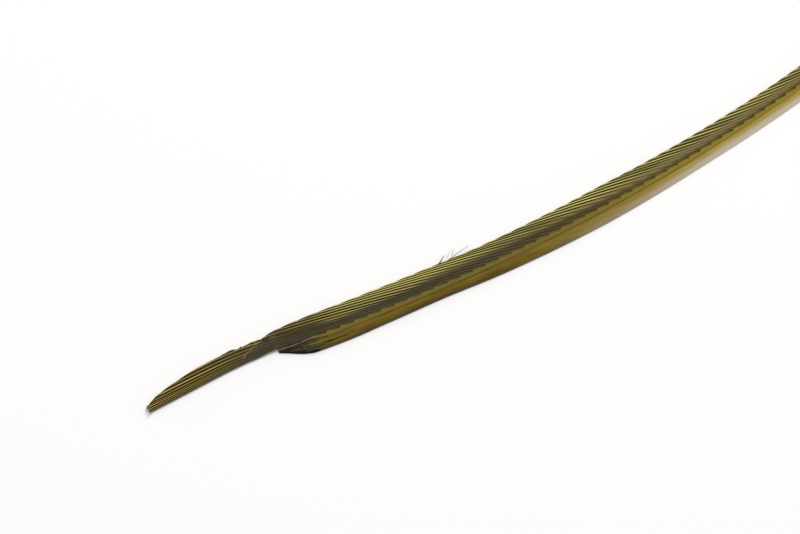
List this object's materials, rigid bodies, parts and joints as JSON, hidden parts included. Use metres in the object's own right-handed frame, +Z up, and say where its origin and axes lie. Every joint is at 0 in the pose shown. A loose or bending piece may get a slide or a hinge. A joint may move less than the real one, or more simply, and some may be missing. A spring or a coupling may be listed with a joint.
{
  "type": "turkey biot strip",
  "caption": "Strip of turkey biots: a bowed, split sliver of quill with stiff barbs zipped into a ridged, rolled web and a free blunt tip.",
  "frame": {"origin": "centre of the object's box on the surface that it lies on", "axes": "+X along the strip from the free tip to the cut butt, +Y across it from the quill to the free edge of the web, +Z up"},
  "size_m": [0.1, 0.0078, 0.0011],
  "materials": {
    "quill": "glossy olive-yellow quill with a paler lower edge and a dark torn end",
    "vane": "satin olive biots, smooth slate near the quill and bright ridges near the free edge"
  },
  "bodies": {
    "root": {"quill": "quill", "vane": "vane"}
  },
  "joints": []
}
